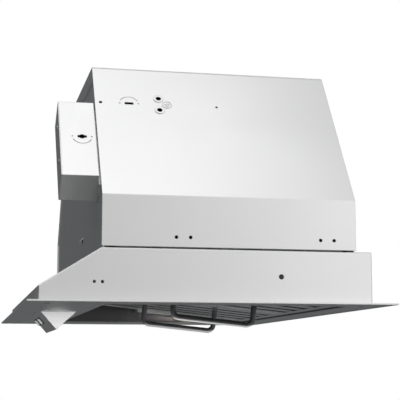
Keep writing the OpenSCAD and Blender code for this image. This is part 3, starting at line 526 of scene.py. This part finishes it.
class HOOD_OT_opening(bpy.types.Operator):
    """Finish the rails, side baffles and centre bar round the filter opening"""
    bl_idname = "hood.opening"
    bl_label = "Filter opening"

    def execute(self, context):
        look = context.scene.hood_finish
        # Painted shade: this dark steel stands for the shade inside the opening
        dress(OPENING_SHEETS, brushed_steel("hood_opening_steel", tuple(look.opening_shade_colour),
                                            OPENING_ROUGHNESS, look.grain_pitch, look.edge_round))
        return {"FINISHED"}


class HOOD_OT_filters(bpy.types.Operator):
    """Finish the baffle filters and their bar handles"""
    bl_idname = "hood.filters"
    bl_label = "Filters"

    def execute(self, context):
        look = context.scene.hood_finish
        dress(FILTER_BAFFLES, baffle_steel("hood_baffle_steel", tuple(look.baffle_colour),
                                           BAFFLE_ROUGHNESS))
        dress(FILTER_FRAMES, brushed_steel("hood_filter_steel", tuple(look.filter_colour),
                                           FRAME_ROUGHNESS, look.grain_pitch * FRAME_GRAIN,
                                           look.edge_round * FRAME_EDGE))
        dress(FILTER_BARS, bar_paint("hood_handle_paint", tuple(look.bar_colour)))
        return {"FINISHED"}


class HOOD_OT_duct_and_blower(bpy.types.Operator):
    """Finish the zinc coated parts, the blower, the motor, the rods and the springs"""
    bl_idname = "hood.duct_and_blower"
    bl_label = "Duct and blower"

    def execute(self, context):
        look = context.scene.hood_finish
        zinc = tuple(look.zinc_colour)
        dress(ZINC_SHEETS, spangled_zinc("hood_zinc_sheet", zinc, ZINC_ROUGHNESS))
        dress(BRIGHT_STEEL, turned_metal("hood_bright_steel", scaled(zinc, 1.15), ROD_ROUGHNESS))
        dress(["side_springs"], turned_metal("hood_spring_steel", SPRING_COLOUR, SPRING_ROUGHNESS))
        dress(["capacitor"], turned_metal("hood_capacitor_can", CAN_COLOUR, CAN_ROUGHNESS))
        dress(["motor"], bar_paint("hood_motor_paint", MOTOR_COLOUR))
        return {"FINISHED"}


class HOOD_OT_controls(bpy.types.Operator):
    """Finish the rocker keys, bezels, switches, light strip and plugs"""
    bl_idname = "hood.controls"
    bl_label = "Controls"

    def execute(self, context):
        look = context.scene.hood_finish
        dress(BLACK_MOULDINGS, moulded_plastic("hood_black_moulding", tuple(look.moulding_colour),
                                               MOULDING_ROUGHNESS, MOULDING_SPECKS))
        dress(WHITE_KEYS, moulded_plastic("hood_white_key", tuple(look.key_colour), KEY_ROUGHNESS,
                                          KEY_SPECKS))
        button_face = max(corner[0] for corner in NODES["side_plugs"].bound_box) - PLUG_BUTTON_RISE
        dress(["side_plugs"], ringed_plug("hood_plug", PLUG_RIM_PAINTED_SHADE, PLUG_BUTTON_COLOUR,
                                          button_face))
        dress(["light_lens"], milky_lens("hood_light_lens"))
        return {"FINISHED"}


def screw_mesh(name, size, shank_l, recess, count):
    """A domed pan-head screw with a cross recess: head above z = 0, shank below."""
    build = bmesh.new()
    rows = []
    for step in range(HEAD_RINGS + 1):
        r = size.head_r * step / HEAD_RINGS
        row = []
        for turn in range(count):
            angle = 2.0 * math.pi * turn / count
            x, y = r * math.cos(angle), r * math.sin(angle)
            height = size.head_h * math.sqrt(max(0.0, 1.0 - (r / size.head_r) ** 2 * HEAD_DOME))
            arm = min(abs(x), abs(y))
            reach = max(abs(x), abs(y))
            inside = max(0.0, 1.0 - arm / (CROSS_HALF_WIDTH * size.head_r))
            inside *= max(0.0, 1.0 - (reach / (CROSS_REACH * size.head_r)) ** CROSS_END_POWER)
            row.append(build.verts.new((x, y, height - recess * min(1.0, inside * CROSS_WALL))))
            if step == 0:
                break
        rows.append(row)
    for radius, height in ((size.head_r, 0.0), (size.shank_r, 0.0),
                           (size.shank_r, -shank_l * TIP_START),
                           (size.shank_r * TIP_WIDTH, -shank_l)):
        rows.append([build.verts.new((radius * math.cos(2.0 * math.pi * k / count),
                                      radius * math.sin(2.0 * math.pi * k / count), height))
                     for k in range(count)])
    for inner, outer in zip(rows, rows[1:]):
        for k in range(count):
            after = (k + 1) % count
            if len(inner) == 1:
                build.faces.new((inner[0], outer[k], outer[after]))
            else:
                build.faces.new((inner[k], outer[k], outer[after], inner[after]))
    build.faces.new(rows[-1])
    bmesh.ops.recalc_face_normals(build, faces=build.faces)
    mesh = bpy.data.meshes.new(name)
    build.to_mesh(mesh)
    build.free()
    return mesh


def place_screws(node, places, facing, size, shank_l, material, settings):
    """Screws that stand for one CAD node, each at its seat with its head facing outwards."""
    group = bpy.data.objects.new(node + "_crossed", screw_mesh(node, size, shank_l,
                                                               settings.recess_depth,
                                                               settings.segments))
    merged = bmesh.new()
    turn = Vector((0, 0, 1)).rotation_difference(Vector(facing)).to_matrix().to_4x4()
    for index, seat in enumerate(places):
        spin = Matrix.Rotation(math.radians(FIRST_TURN + NEXT_TURN * index), 4, "Z")
        copy = group.data.copy()
        copy.transform(Matrix.Translation(seat) @ turn @ spin)
        merged.from_mesh(copy)
        bpy.data.meshes.remove(copy)
    merged.to_mesh(group.data)
    merged.free()
    for face in group.data.polygons:
        face.use_smooth = True
    group.data.materials.append(material)
    bpy.context.scene.collection.objects.link(group)
    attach(group, "hood")
    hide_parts(node)


class HOOD_OT_screws(bpy.types.Operator):
    """Put crossed pan-head screws where the plain ones are"""
    bl_idname = "hood.screws"
    bl_label = "Screws"

    def execute(self, context):
        settings = context.scene.hood_screws
        zinc = turned_metal("hood_screw_steel", SCREW_COLOUR, SCREW_ROUGHNESS)

        size = PAN_SCREW
        low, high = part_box("pan_screws")
        places = [(sx * (high[0] - size.head_r), sy * (high[1] - size.head_r), low[2] + size.head_h)
                  for sx in (-1, 1) for sy in (-1, 1)]
        place_screws("pan_screws", places, (0, 0, -1), size, high[2] - low[2] - size.head_h, zinc,
                     settings)

        size = COLLAR_SCREW
        low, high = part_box("collar_screws")
        middle = (low[1] + high[1]) / 2
        ring = high[0] - size.head_r
        places = [(sx * ring, middle + sy * ring, high[2] - size.head_h)
                  for sx in (-1, 1) for sy in (-1, 1)]
        place_screws("collar_screws", places, (0, 0, 1), size, high[2] - low[2] - size.head_h,
                     zinc, settings)

        size = BLOWER_SCREW
        low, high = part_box("blower_screws")
        places = [(x, y, high[2] - size.head_h)
                  for x in (low[0] + size.head_r, high[0] - size.head_r)
                  for y in (low[1] + size.head_r, high[1] - size.head_r)]
        place_screws("blower_screws", places, (0, 0, 1), size, high[2] - low[2] - size.head_h,
                     zinc, settings)

        size = COVER_SCREW
        low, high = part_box("junction_cover_screws")
        seat = low[1] + size.head_h
        places = [(high[0] - size.head_r, seat, low[2] + size.head_r),
                  (low[0] + size.head_r, seat, high[2] - size.head_r)]
        place_screws("junction_cover_screws", places, (0, -1, 0), size,
                     high[1] - low[1] - size.head_h, zinc, settings)
        return {"FINISHED"}


class HOOD_OT_stage(bpy.types.Operator):
    """Set the floor, the lamps, the surroundings and the camera"""
    bl_idname = "hood.stage"
    bl_label = "Stage"

    def floor(self, settings):
        """A round floor, paler to the camera and darker to the steel that mirrors it."""
        build = bmesh.new()
        bmesh.ops.create_circle(build, cap_ends=True, segments=FLOOR_SEGMENTS,
                                radius=settings.floor_radius)
        mesh = bpy.data.meshes.new("stage_floor")
        build.to_mesh(mesh)
        build.free()
        floor = bpy.data.objects.new("stage_floor", mesh)
        floor.location = (0.0, 0.0, -settings.floor_drop)
        finish = Finish("stage_floor_paint", tuple(settings.floor_colour), 0.0, FLOOR_ROUGHNESS)
        finish.tint(finish.noise(2.0), scaled(settings.floor_colour, 0.99),
                    tuple(settings.floor_colour))
        path = finish.add("ShaderNodeLightPath")
        finish.shader.inputs["Emission Color"].default_value = WHITE
        finish.join(finish.maths("MULTIPLY", path.outputs["Is Camera Ray"], settings.floor_glow),
                    finish.shader.inputs["Emission Strength"])
        dim = finish.add("ShaderNodeBsdfDiffuse")
        side = finish.add("ShaderNodeSeparateXYZ")
        finish.join(finish.place, side.inputs[0])
        near = finish.range(side.outputs["X"], 0.0, 1.0, *FLOOR_TURNS_PALE)
        finish.join(finish.blend_colours(near, tuple(settings.floor_in_steel), NEAR_FLOOR_IN_STEEL),
                    dim.inputs["Color"])
        blend = finish.add("ShaderNodeMixShader")
        finish.join(path.outputs["Is Glossy Ray"], blend.inputs[0])
        finish.join(finish.shader.outputs[0], blend.inputs[1])
        finish.join(dim.outputs[0], blend.inputs[2])
        finish.join(blend.outputs[0], finish.tree.nodes["Material Output"].inputs["Surface"])
        mesh.materials.append(finish.material)
        bpy.context.scene.collection.objects.link(floor)

    def lamp(self, lamp, settings):
        """An area lamp that the camera doesn't see."""
        light = bpy.data.lights.new(lamp.name, "AREA")
        light.spread = lamp.spread
        light.shape = "RECTANGLE"
        light.size, light.size_y = lamp.size
        light.energy = getattr(settings, lamp.power)
        box = bpy.data.objects.new(lamp.name, light)
        box.location = lamp.place
        beam = Vector(lamp.aim) - Vector(lamp.place)
        box.rotation_euler = beam.to_track_quat("-Z", "Y").to_euler()
        box.visible_camera = False
        box.visible_glossy = lamp.mirrored
        if lamp.only_on:
            lit = bpy.data.collections.new(lamp.name + "_lights")
            for part in lamp.only_on:
                lit.objects.link(NODES[part])
            box.light_linking.receiver_collection = lit
        bpy.context.scene.collection.objects.link(box)

    def surroundings(self):
        """White to the camera and through glass, and the graded room to everything else."""
        world = bpy.data.worlds.new("pale_studio")
        world.use_nodes = True
        tree = world.node_tree
        tree.nodes.clear()
        end = tree.nodes.new("ShaderNodeOutputWorld")
        split = tree.nodes.new("ShaderNodeSeparateXYZ")
        tree.links.new(tree.nodes.new("ShaderNodeTexCoord").outputs["Generated"], split.inputs[0])

        def ramp(axis, start, stop, low, high):
            node = tree.nodes.new("ShaderNodeMapRange")
            node.interpolation_type = "SMOOTHSTEP"
            tree.links.new(split.outputs[axis], node.inputs["Value"])
            for key, value in (("From Min", start), ("From Max", stop), ("To Min", low),
                               ("To Max", high)):
                node.inputs[key].default_value = value
            return node.outputs["Result"]

        def maths(operation, first, second):
            node = tree.nodes.new("ShaderNodeMath")
            node.operation = operation
            tree.links.new(first, node.inputs[0])
            tree.links.new(second, node.inputs[1])
            return node.outputs[0]

        total = None
        for steps in ROOM.values():
            part = ramp(*steps[0])
            for step in steps[1:]:
                part = maths("MULTIPLY", part, ramp(*step))
            total = maths("ADD", total, part) if total else part

        room = tree.nodes.new("ShaderNodeBackground")
        tree.links.new(total, room.inputs["Strength"])
        shade = tree.nodes.new("ShaderNodeMix")
        shade.data_type = "RGBA"
        tree.links.new(ramp(*ROOM_TINT_STEP), shade.inputs[MIX_FACTOR])
        for socket, value in zip(MIX_COLOURS_IN, (COOL_TINT, WHITE)):
            shade.inputs[socket].default_value = value
        tree.links.new(shade.outputs[MIX_COLOUR_OUT], room.inputs["Color"])

        pale = tree.nodes.new("ShaderNodeBackground")
        pale.inputs["Color"].default_value = WHITE
        path = tree.nodes.new("ShaderNodeLightPath")
        seen = maths("MAXIMUM", path.outputs["Is Camera Ray"], path.outputs["Is Transmission Ray"])
        blend = tree.nodes.new("ShaderNodeMixShader")
        tree.links.new(seen, blend.inputs[0])
        tree.links.new(room.outputs[0], blend.inputs[1])
        tree.links.new(pale.outputs[0], blend.inputs[2])
        tree.links.new(blend.outputs[0], end.inputs[0])
        bpy.context.scene.world = world

    def camera(self, settings):
        """The photograph's camera: it looks along -X, turned towards +Y and tilted up."""
        eye = bpy.data.cameras.new("photo_camera")
        eye.lens = settings.lens
        eye.sensor_width = SENSOR_WIDTH
        holder = bpy.data.objects.new("photo_camera", eye)
        holder.location = CAMERA_PLACE
        rise, turn = math.radians(CAMERA_RISE), math.radians(CAMERA_TURN)
        look = Vector((-math.cos(rise) * math.cos(turn), math.cos(rise) * math.sin(turn),
                       math.sin(rise)))
        holder.rotation_euler = look.to_track_quat("-Z", "Y").to_euler()
        bpy.context.scene.collection.objects.link(holder)
        bpy.context.scene.camera = holder

    def execute(self, context):
        settings = context.scene.hood_stage
        self.floor(settings)
        for lamp in LAMPS:
            self.lamp(lamp, settings)
        self.surroundings()
        self.camera(settings)
        context.scene.view_settings.view_transform = "Standard"
        return {"FINISHED"}


class HOOD_PT_pieces(bpy.types.Panel):
    """Pieces and settings of the hood"""
    bl_idname = "HOOD_PT_pieces"
    bl_label = "Range hood insert"
    bl_space_type = "VIEW_3D"
    bl_region_type = "UI"
    bl_category = "Hood"

    def draw(self, context):
        for operator in OPERATORS:
            self.layout.operator(operator.bl_idname)
        scene = context.scene
        for group in (scene.hood_finish, scene.hood_screws, scene.hood_stage):
            box = self.layout.box()
            for key in group.bl_rna.properties.keys():
                if key not in {"rna_type", "name"}:
                    box.prop(group, key)


SETTINGS = (HoodFinishSettings, HoodScrewSettings, HoodStageSettings)
OPERATORS = (HOOD_OT_outer_sheets, HOOD_OT_opening, HOOD_OT_filters, HOOD_OT_duct_and_blower,
             HOOD_OT_controls, HOOD_OT_screws, HOOD_OT_stage)


def register():
    for item in SETTINGS + OPERATORS + (HOOD_PT_pieces,):
        bpy.utils.register_class(item)
    bpy.types.Scene.hood_finish = PointerProperty(type=HoodFinishSettings)
    bpy.types.Scene.hood_screws = PointerProperty(type=HoodScrewSettings)
    bpy.types.Scene.hood_stage = PointerProperty(type=HoodStageSettings)


def unregister():
    del bpy.types.Scene.hood_stage
    del bpy.types.Scene.hood_screws
    del bpy.types.Scene.hood_finish
    for item in reversed(SETTINGS + OPERATORS + (HOOD_PT_pieces,)):
        bpy.utils.unregister_class(item)


def main():
    register()
    bpy.ops.hood.stage()
    bpy.ops.hood.outer_sheets()
    bpy.ops.hood.opening()
    bpy.ops.hood.filters()
    bpy.ops.hood.duct_and_blower()
    bpy.ops.hood.controls()
    bpy.ops.hood.screws()


if __name__ == "__main__":
    main()
